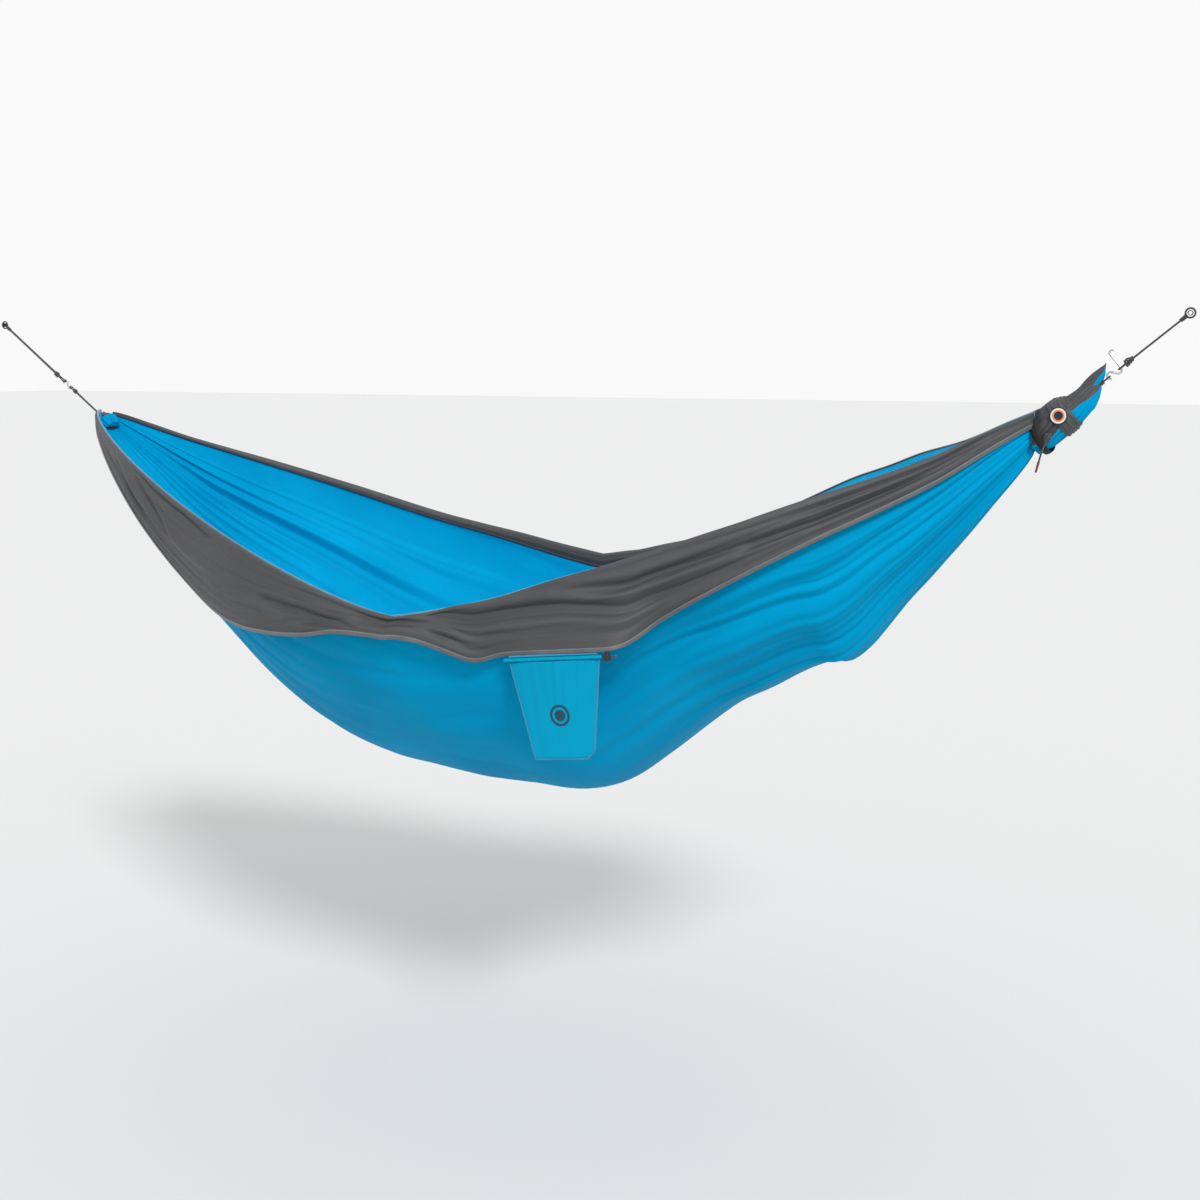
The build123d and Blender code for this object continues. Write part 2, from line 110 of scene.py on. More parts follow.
def newMaterial(name, colour, roughness, sockets=None):
    material = bpy.data.materials.new(name)
    material.use_nodes = True
    shader = material.node_tree.nodes["Principled BSDF"]
    shader.inputs["Base Color"].default_value = (*colour, 1)
    shader.inputs["Roughness"].default_value = roughness
    for socket, value in (sockets or {}).items():
        shader.inputs[socket].default_value = value
    return material, material.node_tree, shader


def addNode(tree, kind, **settings):
    node = tree.nodes.new(kind)
    for key, value in settings.items():
        if key in node.inputs:
            node.inputs[key].default_value = value
        else:
            setattr(node, key, value)
    return node


def surfaceVector(tree, source, scale):
    coordinates = addNode(tree, "ShaderNodeTexCoord")
    mapping = addNode(tree, "ShaderNodeMapping", Scale=scale)
    tree.links.new(coordinates.outputs[source], mapping.inputs["Vector"])
    return mapping.outputs["Vector"]


def noiseOn(tree, source, scale, fineness, detail=3.0):
    texture = addNode(tree, "ShaderNodeTexNoise", Scale=fineness, Detail=detail)
    tree.links.new(surfaceVector(tree, source, scale), texture.inputs["Vector"])
    return texture.outputs["Fac"]


def mathNode(tree, operation, first, second=None):
    node = addNode(tree, "ShaderNodeMath", operation=operation)
    for index, value in enumerate((first, second)):
        if value is None:
            continue
        if isinstance(value, (int, float)):
            node.inputs[index].default_value = value
        else:
            tree.links.new(value, node.inputs[index])
    return node.outputs["Value"]


def mixColours(tree, factor, first, second):
    ramp = addNode(tree, "ShaderNodeValToRGB")
    ramp.color_ramp.elements[0].position = 0.32
    ramp.color_ramp.elements[0].color = (*first, 1)
    ramp.color_ramp.elements[1].position = 0.68
    ramp.color_ramp.elements[1].color = (*second, 1)
    tree.links.new(factor, ramp.inputs["Fac"])
    return ramp.outputs["Color"]


def spread(tree, value, low, high):
    remap = addNode(tree, "ShaderNodeMapRange")
    remap.inputs["From Min"].default_value = 0.3
    remap.inputs["From Max"].default_value = 0.7
    remap.inputs["To Min"].default_value = low
    remap.inputs["To Max"].default_value = high
    tree.links.new(value, remap.inputs["Value"])
    return remap.outputs["Result"]


def addBump(tree, shader, height, strength, distance):
    bump = addNode(tree, "ShaderNodeBump", Strength=strength, Distance=distance)
    tree.links.new(height, bump.inputs["Height"])
    tree.links.new(bump.outputs["Normal"], shader.inputs["Normal"])


def weaveHeight(tree, pitch):
    # Over-and-under threads, one thread to each pitch
    axes = addNode(tree, "ShaderNodeSeparateXYZ")
    tree.links.new(surfaceVector(tree, "UV", (1, 1, 1)), axes.inputs["Vector"])
    turns = math.pi / pitch
    warp = mathNode(tree, "SINE", mathNode(tree, "MULTIPLY", axes.outputs["X"], turns))
    weft = mathNode(tree, "SINE", mathNode(tree, "MULTIPLY", axes.outputs["Y"], turns))
    return mathNode(tree, "MULTIPLY", warp, weft)


def clothMaterial(name, light, dark, roughness=0.46, sheen=0.25, crinkle=1.0, gloss=0.3):
    sockets = {"Sheen Weight": sheen, "Sheen Roughness": 0.4, "Sheen Tint": (*light, 1), "Specular IOR Level": gloss}
    material, tree, shader = newMaterial(name, light, roughness, sockets)
    broad = noiseOn(tree, "UV", (1, 1.6, 1), 3.5)
    tree.links.new(mixColours(tree, broad, dark, light), shader.inputs["Base Color"])
    fine = noiseOn(tree, "UV", (1, 5, 1), 38, 5)
    tree.links.new(spread(tree, fine, roughness - 0.07, roughness + 0.08), shader.inputs["Roughness"])
    threads = mathNode(tree, "MULTIPLY", weaveHeight(tree, 0.0007), 0.12)
    addBump(tree, shader, mathNode(tree, "ADD", threads, fine), 0.35 * crinkle, 0.0016)
    return material


def stitchedMaterial(name, light, dark, thread, rows):
    # Cloth with rows of straight stitches; the rows are distances across the strip in metres
    material, tree, shader = newMaterial(name, light, 0.5, {"Sheen Weight": 0.2})
    cloth = mixColours(tree, noiseOn(tree, "UV", (1, 3, 1), 30), dark, light)
    axes = addNode(tree, "ShaderNodeSeparateXYZ")
    tree.links.new(surfaceVector(tree, "UV", (1, 1, 1)), axes.inputs["Vector"])
    stitchLength = 0.0034
    dash = mathNode(tree, "FRACT", mathNode(tree, "DIVIDE", axes.outputs["X"], stitchLength))
    dash = mathNode(tree, "LESS_THAN", dash, 0.74)
    line = None
    for row in rows:
        offset = mathNode(tree, "ABSOLUTE", mathNode(tree, "SUBTRACT", axes.outputs["Y"], row))
        near = mathNode(tree, "LESS_THAN", offset, 0.00045)
        line = near if line is None else mathNode(tree, "MAXIMUM", line, near)
    stitches = mathNode(tree, "MULTIPLY", dash, line)
    mix = addNode(tree, "ShaderNodeMix", data_type="RGBA")
    tree.links.new(stitches, mix.inputs["Factor"])
    tree.links.new(cloth, mix.inputs[6])
    mix.inputs[7].default_value = (*thread, 1)
    tree.links.new(mix.outputs[2], shader.inputs["Base Color"])
    fine = noiseOn(tree, "UV", (1, 4, 1), 60, 4)
    addBump(tree, shader, mathNode(tree, "ADD", mathNode(tree, "MULTIPLY", fine, 0.5), stitches), 0.5, 0.0006)
    return material


def cordMaterial(name, light, dark, source, scale, roughness=0.7):
    # A braid: two sets of strands that wind round the cord in opposite ways
    material, tree, shader = newMaterial(name, light, roughness, {"Sheen Weight": 0.3})
    axes = addNode(tree, "ShaderNodeSeparateXYZ")
    tree.links.new(surfaceVector(tree, source, scale), axes.inputs["Vector"])
    along = mathNode(tree, "MULTIPLY", axes.outputs["X"], 2 * math.pi)
    around = mathNode(tree, "MULTIPLY", axes.outputs["Y"], 2 * math.pi)
    right = mathNode(tree, "SINE", mathNode(tree, "ADD", along, around))
    left = mathNode(tree, "SINE", mathNode(tree, "SUBTRACT", along, around))
    braid = mathNode(tree, "MAXIMUM", right, left)
    # The colour follows the braid's height, so the grooves between the strands are painted darker as shade
    shade = mathNode(tree, "ADD", mathNode(tree, "MULTIPLY", braid, 0.25), 0.5)
    tree.links.new(mixColours(tree, shade, dark, light), shader.inputs["Base Color"])
    addBump(tree, shader, braid, 0.6, 0.0005)
    return material


def hardMaterial(name, light, dark, roughness, fineness, sockets=None):
    material, tree, shader = newMaterial(name, light, roughness, sockets)
    grain = noiseOn(tree, "Object", (1, 1, 1), fineness, 6)
    tree.links.new(mixColours(tree, grain, dark, light), shader.inputs["Base Color"])
    tree.links.new(spread(tree, grain, roughness - 0.08, roughness + 0.1), shader.inputs["Roughness"])
    addBump(tree, shader, grain, 0.15, 0.0004)
    return material


blue = {"light": (0.0, 0.28, 0.52), "dark": (0.0, 0.235, 0.45)}
grey = {"light": (0.062, 0.063, 0.067), "dark": (0.05, 0.051, 0.055)}
blueNylon = clothMaterial("blueNylon", blue["light"], blue["dark"], sheen=0.04, gloss=0.012)
pouchNylon = clothMaterial("pouchNylon", (0.0, 0.275, 0.455), (0.0, 0.25, 0.415), sheen=0.05, crinkle=0.8, gloss=0.05)
greyNylon = clothMaterial("greyNylon", grey["light"], grey["dark"], roughness=0.5, sheen=0.2)
greyHem = stitchedMaterial("greyHem", (0.085, 0.09, 0.095), grey["light"], (0.2, 0.21, 0.22), (0.0022,))
blueSeam = stitchedMaterial("blueSeam", (0.08, 0.2, 0.27), (0.05, 0.16, 0.23), (0.3, 0.36, 0.4), (0.002, 0.005))
# The rear seam's near-black colour is partly its own dark binding and partly painted shade, standing in for the shadow
# line under the rolled rear fold
seamAndPaintedShade = stitchedMaterial("seamAndPaintedShade", (0.02, 0.021, 0.023), (0.012, 0.012, 0.014), (0.08, 0.08, 0.085), (0.003,))
pouchSeam = stitchedMaterial("pouchSeam", (0.0, 0.2, 0.35), (0.0, 0.175, 0.31), (0.02, 0.3, 0.46), (0.0015,))
blackRope = cordMaterial("blackRope", (0.035, 0.036, 0.04), (0.006, 0.006, 0.007), "UV", (8, 70, 1))
metal = {"Metallic": 1.0}
steelWire = hardMaterial("steelWire", (0.62, 0.63, 0.65), (0.5, 0.51, 0.53), 0.3, 90, metal)
bushSteel = hardMaterial("bushSteel", (0.07, 0.07, 0.075), (0.035, 0.035, 0.04), 0.45, 120, metal)
lockPlastic = hardMaterial("lockPlastic", (0.012, 0.012, 0.014), (0.008, 0.008, 0.009), 0.42, 300)
tipBrown = hardMaterial("tipBrown", (0.16, 0.045, 0.02), (0.1, 0.028, 0.013), 0.45, 160)
badgeNavy = hardMaterial("badgeNavy", (0.006, 0.012, 0.035), (0.004, 0.008, 0.025), 0.5, 140)
badgePale = hardMaterial("badgePale", (0.66, 0.66, 0.64), (0.58, 0.58, 0.56), 0.55, 140)
badgeOrange = hardMaterial("badgeOrange", (0.72, 0.2, 0.05), (0.62, 0.16, 0.04), 0.55, 140)
printInk = hardMaterial("printInk", (0.003, 0.035, 0.065), (0.002, 0.03, 0.055), 0.55, 200)
print("materials made")


# Making pieces

def toMesh(name, bm):
    mesh = bpy.data.meshes.new(name)
    bm.to_mesh(mesh)
    bm.free()
    return mesh


def finishPiece(name, data, materials, replaced, wall=0.0, offset=0.0):
    mesh = toMesh(name, data) if isinstance(data, bmesh.types.BMesh) else data
    piece = link(bpy.data.objects.new(name, mesh))
    for material in materials:
        mesh.materials.append(material)
    if hasattr(mesh, "polygons"):
        mesh.polygons.foreach_set("use_smooth", [True] * len(mesh.polygons))
    if wall:
        solidify = piece.modifiers.new("cloth", "SOLIDIFY")
        solidify.thickness = wall
        solidify.offset = offset
    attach(piece, bodyOf[replaced[0]])
    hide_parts(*replaced)
    return piece


def clothGrid(columns, rows, place, size, joined=False, colourOf=None):
    # A grid laid out by place(along, across), both 0 to 1; its UV is in metres
    bm = bmesh.new()
    sheetUv = bm.loops.layers.uv.new("UVMap")
    bmesh.ops.create_grid(bm, x_segments=columns, y_segments=rows, size=0.5, calc_uvs=False)
    for face in bm.faces:
        for loop in face.loops:
            flat = loop.vert.co
            loop[sheetUv].uv = ((flat.x + 0.5) * size[0], (flat.y + 0.5) * size[1])
        if colourOf:
            middle = face.calc_center_median()
            face.material_index = colourOf(middle.x + 0.5, middle.y + 0.5)
    for vert in bm.verts:
        vert.co = Vector(place(vert.co.x + 0.5, vert.co.y + 0.5))
    if joined:
        bmesh.ops.remove_doubles(bm, verts=bm.verts, dist=1e-6)
        bmesh.ops.recalc_face_normals(bm, faces=bm.faces)
    return bm


def cordCurve(name, points, radius, sides=4, closed=False):
    curve = bpy.data.curves.new(name, "CURVE")
    curve.dimensions = "3D"
    curve.bevel_depth = radius
    curve.bevel_resolution = sides
    curve.resolution_u = 14
    curve.use_fill_caps = not closed
    spline = curve.splines.new("NURBS")
    spline.points.add(len(points) - 1)
    for point, place in zip(spline.points, points):
        point.co = (*place, 1)
    spline.order_u = 3
    spline.use_endpoint_u = not closed
    spline.use_cyclic_u = closed
    return curve


def tubeMesh(name, points, radius, sides=3, closed=False):
    # A bent cord made a mesh, for knots and whippings
    holder = link(bpy.data.objects.new(name + "Curve", cordCurve(name, points, radius, sides, closed)))
    holder.data.resolution_u = 6
    mesh = bpy.data.meshes.new_from_object(holder)
    bpy.data.objects.remove(holder)
    return mesh


def joinMeshes(meshes):
    bm = bmesh.new()
    for mesh in meshes:
        bm.from_mesh(mesh)
        bpy.data.meshes.remove(mesh)
    return bm


# The two lines of pull, from the anchors to the gathers

def pullLine(anchor, gather):
    along = (gather - anchor).normalized()
    across = Vector((-along.z, 0, along.x))
    return anchor, along, across if across.z > 0 else -across


leftAnchor = sum(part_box("left_anchor_bush"), Vector()) / 2
rightAnchor = sum(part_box("right_anchor_bush"), Vector()) / 2
leftPull = pullLine(leftAnchor, leftAnchor + Vector((0.363, 0, -0.268)))
rightPull = pullLine(rightAnchor, rightAnchor + Vector((-0.282, 0, -0.240)))


def onPull(pull, distance, up=0.0, side=0.0):
    anchor, along, across = pull
    return anchor + along * distance + across * up + Vector((0, side, 0))


# Free cords
slings = {
    "leftSling": {"node": "left_sling_rope", "pull": leftPull, "thick": 0.004, "length": 0.498,
                  "half": ((0.0265, 0.0022), (0.25, 0.0022), (0.262, 0.0056), (0.2716, 0.0056))},
    "rightSling": {"node": "right_sling_rope", "pull": rightPull, "thick": 0.004, "length": 0.314,
                   "half": ((0.0245, 0.0022), (0.165, 0.0022), (0.1695, 0.0056), (0.1766, 0.0056))},
    "leftGatherCord": {"node": "left_gather_cord", "pull": leftPull, "thick": 0.0034, "length": 0.2775,
                       "half": ((0.428, 0.0019), (0.3065, 0.0019), (0.3025, 0.0053), (0.2937, 0.0053))},
    "rightGatherCord": {"node": "right_gather_cord", "pull": rightPull, "thick": 0.0034, "length": 0.092,
                        "half": ((0.24, 0.0019), (0.21, 0.0019), (0.2065, 0.0053), (0.1987, 0.0053))},
}


def makeSlings():
    for name, cord in slings.items():
        front = [onPull(cord["pull"], distance, 0, -side) for distance, side in cord["half"]]
        back = [onPull(cord["pull"], distance, 0, side) for distance, side in reversed(cord["half"])]
        route = front + back
        piece = finishPiece(name, cordCurve(name, route, cord["thick"] / 2), [blackRope], [cord["node"]])


setCamera()
addLights()
makeSlings()
print("camera, lights and slings made")

# The shape of the bed. A place runs from -1 at the left gather to 1 at the right one.
panelLow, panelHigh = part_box("centre_panel")
bed = {
    "leftX": panelLow.x, "rightX": panelHigh.x, "leftZ": -0.266, "rightZ": -0.24,
    "leftBunch": 0.024, "rightBunch": 0.038, "halfSpread": panelHigh.y, "foldSag": 0.408, "keelSag": 0.918,
    "foldPowers": (1.265, 1.193), "keelPowers": (1.62, 0.793), "roundness": 1.22,
    "frontLean": ((-1, 0), (0, 0), (0.1, -0.006), (0.2, -0.015), (0.3, -0.017), (0.4, -0.026), (0.5, -0.032),
                  (0.6, -0.04), (0.7, -0.044), (0.8, -0.047), (0.87, -0.042), (0.93, -0.026), (1, -0.007)),
    "rearLean": ((-1, -0.01), (-0.95, -0.03), (-0.88, -0.046), (-0.75, -0.054), (-0.55, -0.051), (-0.4, -0.044),
                 (-0.25, -0.027), (-0.1, -0.018), (0.1, -0.014), (0.4, -0.012), (0.5, -0.004), (0.6, 0.002),
                 (0.68, -0.003), (0.75, -0.004), (0.84, -0.014), (0.92, -0.009), (1, -0.002)),
    "keelTrim": ((0.3, 0), (0.4, 0.03), (0.48, 0.038), (0.6, 0.026), (0.9, 0.03), (1.1, 0.0), (1.25, -0.014),
                 (1.4, -0.002), (1.52, 0.018), (1.65, 0.022), (1.78, 0.003), (1.9, -0.032), (2.0, -0.036),
                 (2.1, -0.006), (2.2, 0.026), (2.28, 0.042), (2.36, 0.033), (2.44, 0.024), (2.5, 0.004),
                 (2.55, -0.03), (2.6, -0.03), (2.635, -0.014), (2.67, 0.001), (2.71, 0.009), (2.755, 0.018),
                 (2.85, 0.024), (2.9, 0.016), (2.944, 0)),
    "rearDrop": 0.195,
    "frontDrops": ((-1, 0.008), (-0.9, 0.04), (-0.8, 0.095), (-0.7, 0.163), (-0.6, 0.216), (-0.5, 0.236),
                   (-0.4, 0.217), (-0.3, 0.172), (-0.2, 0.119), (-0.1, 0.06), (0, 0.034), (0.06, 0.048),
                   (0.11, 0.08), (0.19, 0.138), (0.285, 0.166), (0.37, 0.175), (0.45, 0.15), (0.515, 0.126),
                   (0.6, 0.1), (0.68, 0.082), (0.76, 0.066), (0.83, 0.053), (0.91, 0.04), (1, 0.019)),
}


def fromTable(table, value):
    # A smooth line through a table's values
    last = len(table) - 1
    for index in range(last):
        if value <= table[index + 1][0] or index == last - 1:
            break
    (x0, y0), (x1, y1) = table[index], table[index + 1]
    before, after = table[max(index - 1, 0)], table[min(index + 2, last)]
    share = min(max((value - x0) / (x1 - x0), 0), 1)
    slope0 = (y1 - before[1]) / (x1 - before[0]) * (x1 - x0)
    slope1 = (after[1] - y0) / (after[0] - x0) * (x1 - x0)
    square, cube = share * share, share ** 3
    return ((2 * cube - 3 * square + 1) * y0 + (cube - 2 * square + share) * slope0
            + (3 * square - 2 * cube) * y1 + (cube - square) * slope1)


def hump(value, middle, reach):
    return math.exp(-((value - middle) / reach) ** 2)


def placeAt(along):
    spaced = 2 * along - 1
    return 0.55 * spaced + 0.45 * math.sin(math.pi / 2 * spaced)


def betweenEnds(place, left, right):
    return left + (right - left) * (place + 1) / 2


def sagShare(place, powers):
    return max(1 - abs(place) ** powers[0], 0) ** powers[1]


@functools.lru_cache(maxsize=None)
def station(place):
    # x, half the spread between the folds, height of the folds, depth of the bed and length round its section
    x = betweenEnds(place, bed["leftX"], bed["rightX"])
    bunch = betweenEnds(place, bed["leftBunch"], bed["rightBunch"])
    end = betweenEnds(place, bed["leftZ"], bed["rightZ"])
    half = bunch + (bed["halfSpread"] - bunch) * max(1 - place * place, 0) ** 0.8
    foldShare = sagShare(place, bed["foldPowers"])
    keelShare = sagShare(place, bed["keelPowers"])
    fold = end + bunch * (1 - foldShare) - bed["foldSag"] * foldShare
    keel = end - bunch * (1 - keelShare) - bed["keelSag"] * keelShare
    depth = fold - keel - fromTable(bed["keelTrim"], x)
    length = 0.0
    last = (-half, 0.0)
    for step in range(1, 13):
        turn = math.radians(-90 + 15 * step)
        here = (half * math.sin(turn), -depth * math.cos(turn))
        length += math.hypot(here[0] - last[0], here[1] - last[1])
        last = here
    return x, half, fold, depth, length


@functools.lru_cache(maxsize=None)
def lean(place, side):
    # How far the front (-1) or rear (1) fold stands above the even height
    return fromTable(bed["frontLean" if side < 0 else "rearLean"], place)


def bedSection(place, turn):
    x, half, fold, depth, length = station(place)
    across = half * math.copysign(abs(math.sin(turn)) ** bed["roundness"], turn)
    leaning = lean(place, -1 if turn < 0 else 1) * math.sin(turn) ** 2
    return across, fold + leaning - depth * max(math.cos(turn), 0) ** bed["roundness"]


def bedHalfWidth(place, drop, side):
    x, half, fold, depth, length = station(place)
    share = 0
    for _ in range(3):
        evenDrop = drop - lean(place, side) * share ** 2
        share = min(max(evenDrop / depth, 0), 1) ** (1 / bed["roundness"])
    return half * math.sqrt(1 - share * share) ** bed["roundness"]


def ease(value):
    value = min(max(value, 0), 1)
    return value * value * (3 - 2 * value)


@functools.lru_cache(maxsize=None)
def edgeFall(place, side):
    # Height of an edge panel from its fold down to its hem
    if side < 0:
        return fromTable(bed["frontDrops"], place)
    return bed["rearDrop"] * (1 - abs(place) ** 3) + 0.5 * betweenEnds(place, bed["leftBunch"], bed["rightBunch"])


@functools.lru_cache(maxsize=None)
def coverStart(place, side):
    # The share of the way up to the fold at which the edge panel begins to cover the bed's outside
    depth = station(place)[3]
    return math.acos(min(edgeFall(place, side) / depth, 1) ** (1 / bed["roundness"])) * 2 / math.pi


pleats = {"cloth": 1.7, "levels": ((11, 0.36, 0), (24, 0.58, 0.3), (50, 0.6, 0.6)), "leftSeed": 3.1, "rightSeed": 8.6,
          "covered": 0.003}


def pleatNoise(place, across, cells, seed):
    wander = 0.35 * noise.noise(Vector((place * 1.7, seed, cells * 0.37)))
    return noise.noise(Vector((across * cells / 2 + wander, place * 0.9, seed + cells)))


def pleatOut(place, across):
    # Rounded pleats with narrow valleys, seen from inside at the rear and from outside at the front
    length = station(place)[4]
    spare = math.sqrt(max(pleats["cloth"] / length - 1, 0))
    leftShare = ease((0.4 - place) / 0.8)
    facing = -math.tanh(3.5 * across)
    out = 0.0
    for cells, deep, fade in pleats["levels"]:
        value = 0.0
        if leftShare > 0:
            value += leftShare * pleatNoise(place, across, cells, pleats["leftSeed"])
        if leftShare < 1:
            value += (1 - leftShare) * pleatNoise(place, across, cells, pleats["rightSeed"])
        billow = 1.9 * abs(value) ** 0.7 - 0.62
        amount = deep * length / cells * spare * abs(place) ** fade
        out += amount * (0.75 * facing * billow + 0.45 * value)
    calm = ease((1 - abs(across)) / 0.07) * (1 - 0.45 * abs(place) ** 12)
    out *= calm * (1 - 0.6 * hump(across, -0.06, 0.16))
    cover = ease((abs(across) - coverStart(place, -1 if across < 0 else 1) + 0.1) / 0.08)
    return out - cover * max(out - pleats["covered"], 0)


centre = {"columns": 170, "rows": 276, "wall": 0.0009, "flat": (1.5, 3.02)}


def centrePoint(along, across):
    place = placeAt(along)
    angle = (2 * across - 1) * math.pi / 2
    y, z = bedSection(place, angle)
    before = bedSection(place, max(angle - 0.03, -math.pi / 2))
    after = bedSection(place, min(angle + 0.03, math.pi / 2))
    run = max(math.hypot(after[0] - before[0], after[1] - before[1]), 1e-9)
    out = pleatOut(place, 2 * across - 1)
    y += out * (after[1] - before[1]) / run
    z -= out * (after[0] - before[0]) / run
    return station(place)[0], y, z


def makeCentre():
    bm = clothGrid(centre["columns"], centre["rows"], centrePoint, (centre["flat"][1], centre["flat"][0]))
    return finishPiece("centrePanel", bm, [blueNylon], ["centre_panel"], wall=centre["wall"])


centrePanel = makeCentre()
print("centre panel made")

# Edge panels, turned out over the folds, with their hems and seams
edge = {
    "columns": 340, "rows": 66, "wall": 0.0009, "hemHeight": 0.009, "gap": 0.03, "flatWidth": 0.185,
    "hingeGap": 0.0052,
    "rearRise": ((-1, 0.002), (-0.8, 0.004), (-0.6, 0.009), (-0.3, 0.014), (-0.1, 0.026), (0.0, 0.026), (0.1, 0.016),
                 (0.3, 0), (0.5, -0.01), (0.6, -0.014), (0.9, -0.01), (1, 0)),
}
tapeLow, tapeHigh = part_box("pouch_hinge_tape")
pouchTilt = math.radians(6.7)
pouchAlong = Vector((math.cos(pouchTilt), 0, math.sin(pouchTilt)))
pouchUp = Vector((-math.sin(pouchTilt), 0, math.cos(pouchTilt)))
pouchCentre = (tapeLow + tapeHigh) / 2 - pouchUp * 0.00135


@functools.lru_cache(maxsize=None)
def edgeCurve(place, side):
    # The edge panel's line from its seam, over the fold and down to its hem, with lengths along it
    x, half, fold, depth, length = station(place)
    fold += lean(place, side)
    endShare = 1 - place ** 4
    fall = edgeFall(place, side)
    rise = fromTable(edge["rearRise"], place) if side > 0 else 0.0
    standOff = 0.009 + edge["gap"] * endShare
    endAcross = bedHalfWidth(place, fall, side) + standOff
    height = fold - fall
    if side < 0:
        share = math.exp(-((x - pouchCentre.x) / 0.175) ** 8)
        line = pouchCentre.z + math.tan(pouchTilt) * (x - pouchCentre.x)
        height += share * (line + edge["hemHeight"] + edge["hingeGap"] - height)
        endAcross += share * (-pouchCentre.y - endAcross)
    fall = fold - height
    scale = 0.45 + 0.55 * endShare
    points = [(half + 0.0035, fold + 0.0025 + 0.45 * rise), (half + 0.0045 + 0.002 * scale, fold + 0.004 + rise),
              (half + 0.0045 + 0.012 * scale, fold + 0.001 + 0.8 * rise)]
    for part in (0.35, 0.7):
        drop = part * fall
        partOff = 0.009 + edge["gap"] * endShare * part
        pulled = endAcross - bedHalfWidth(place, fall, side) - standOff
        points.append((bedHalfWidth(place, drop, side) + partOff + part ** 2 * pulled, fold - drop))
    points.append((endAcross, height))
    points = [Vector((side * across, up)) for across, up in points]
    lengths = [0.0]
    for first, second in zip(points, points[1:]):
        lengths.append(lengths[-1] + (second - first).length)
    return points, lengths


def alongCurve(points, lengths, share):
    # A smooth line through the points; a share past 1 carries straight on
    last = len(points) - 1
    if share > 1:
        return points[last] + (points[last] - points[last - 1]).normalized() * (share - 1) * lengths[last]
    reach = max(share, 0) * lengths[last]
    index = 0
    while index < last - 1 and lengths[index + 1] < reach:
        index += 1
    share = (reach - lengths[index]) / max(lengths[index + 1] - lengths[index], 1e-9)
    p1, p2 = points[index], points[index + 1]
    p0 = points[index - 1] if index > 0 else p1 * 2 - p2
    p3 = points[index + 2] if index < last - 1 else p2 * 2 - p1
    return 0.5 * (2 * p1 + (p2 - p0) * share + (2 * p0 - 5 * p1 + 4 * p2 - p3) * share ** 2
                  + (3 * p1 - p0 - 3 * p2 + p3) * share ** 3)


# Creases in the front edge panel: depth, half width, and (place, share of the way down) along each
creases = [
    (0.02, 0.011, ((-0.3, 0.58), (-0.19, 0.62), (-0.125, 0.76), (-0.06, 0.9))),
    (0.011, 0.007, ((-0.23, 0.78), (-0.17, 0.8), (-0.11, 0.86))),
    (0.017, 0.012, ((0.0, 0.12), (0.11, 0.3), (0.22, 0.38), (0.32, 0.46), (0.42, 0.6), (0.5, 0.72), (0.6, 0.8))),
    (0.009, 0.008, ((0.3, 0.25), (0.4, 0.32), (0.5, 0.42), (0.62, 0.5), (0.7, 0.58))),
    (0.011, 0.007, ((0.6, 0.55), (0.72, 0.62), (0.82, 0.6), (0.93, 0.55))),
    (0.006, 0.005, ((0.66, 0.3), (0.78, 0.34), (0.9, 0.36), (0.97, 0.4))),
    (0.008, 0.006, ((-0.7, 0.06), (-0.6, 0.12), (-0.5, 0.1), (-0.42, 0.16))),
    (0.008, 0.01, ((-0.68, 0.2), (-0.62, 0.35), (-0.56, 0.5))),
    (0.006, 0.012, ((-0.78, 0.3), (-0.72, 0.5), (-0.66, 0.62))),
    (0.007, 0.008, ((-0.22, 0.4), (-0.1, 0.5), (0.02, 0.5), (0.12, 0.75), (0.2, 0.92))),
    (0.005, 0.006, ((-0.2, 0.25), (-0.08, 0.3), (0.03, 0.4), (0.13, 0.55), (0.24, 0.7))),
]


def creaseOut(place, across, drop):
    out = 0.0
    here = Vector((place * 1.288, across * drop))
    for deep, wide, route in creases:
        spots = [Vector((spot[0] * 1.288, spot[1] * drop)) for spot in route]
        nearest, where = 1e9, 0.0
        for index, (first, second) in enumerate(zip(spots, spots[1:])):
            run = second - first
            share = min(max((here - first).dot(run) / run.length_squared, 0), 1)
            gap = (here - first - run * share).length
            if gap < nearest:
                nearest, where = gap, (index + share) / (len(spots) - 1)
        if nearest < 5 * wide:
            taper = max(math.sin(math.pi * where), 0) ** 0.5
            out += deep * taper * (0.45 * hump(nearest, 2.2 * wide, wide) - hump(nearest, 0, wide))
    return out


def edgeOut(place, across, side, drop):
    narrow = min(drop / 0.18, 1)
    endGain = 0.5 + 0.7 * place * place
    out = 0.0
    for cells, deep in ((2.6, 0.012), (6.5, 0.006), (15, 0.0025)):
        value = noise.noise(Vector((across * cells + 0.5 * math.sin(place * 4), place * 2.1, side * 5.3 + cells)))
        out += deep * (1.9 * abs(value) - 0.35)
    out *= narrow * endGain
    if side < 0:
        out += creaseOut(place, across, drop)
    return max(out, -0.008) * ease(across / 0.12) * (1 - 0.65 * across ** 8)


def edgePoint(along, across, side, past=0.0):
    place = placeAt(along)
    points, lengths = edgeCurve(place, side)
    share = across + past
    here = alongCurve(points, lengths, share)
    run = alongCurve(points, lengths, min(share + 0.01, 1)) - alongCurve(points, lengths, min(share, 1) - 0.01)
    run.normalize()
    out = edgeOut(place, min(share, 1), side, lengths[-1])
    y = here.x - side * run.y * out
    z = here.y + side * run.x * out
    return station(place)[0], y, z


def hemPoint(along, across, side):
    lengths = edgeCurve(placeAt(along), side)[1]
    step = (1.15 * across - 0.15) * edge["hemHeight"] / lengths[-1]
    return edgePoint(along, 1.0, side, step)


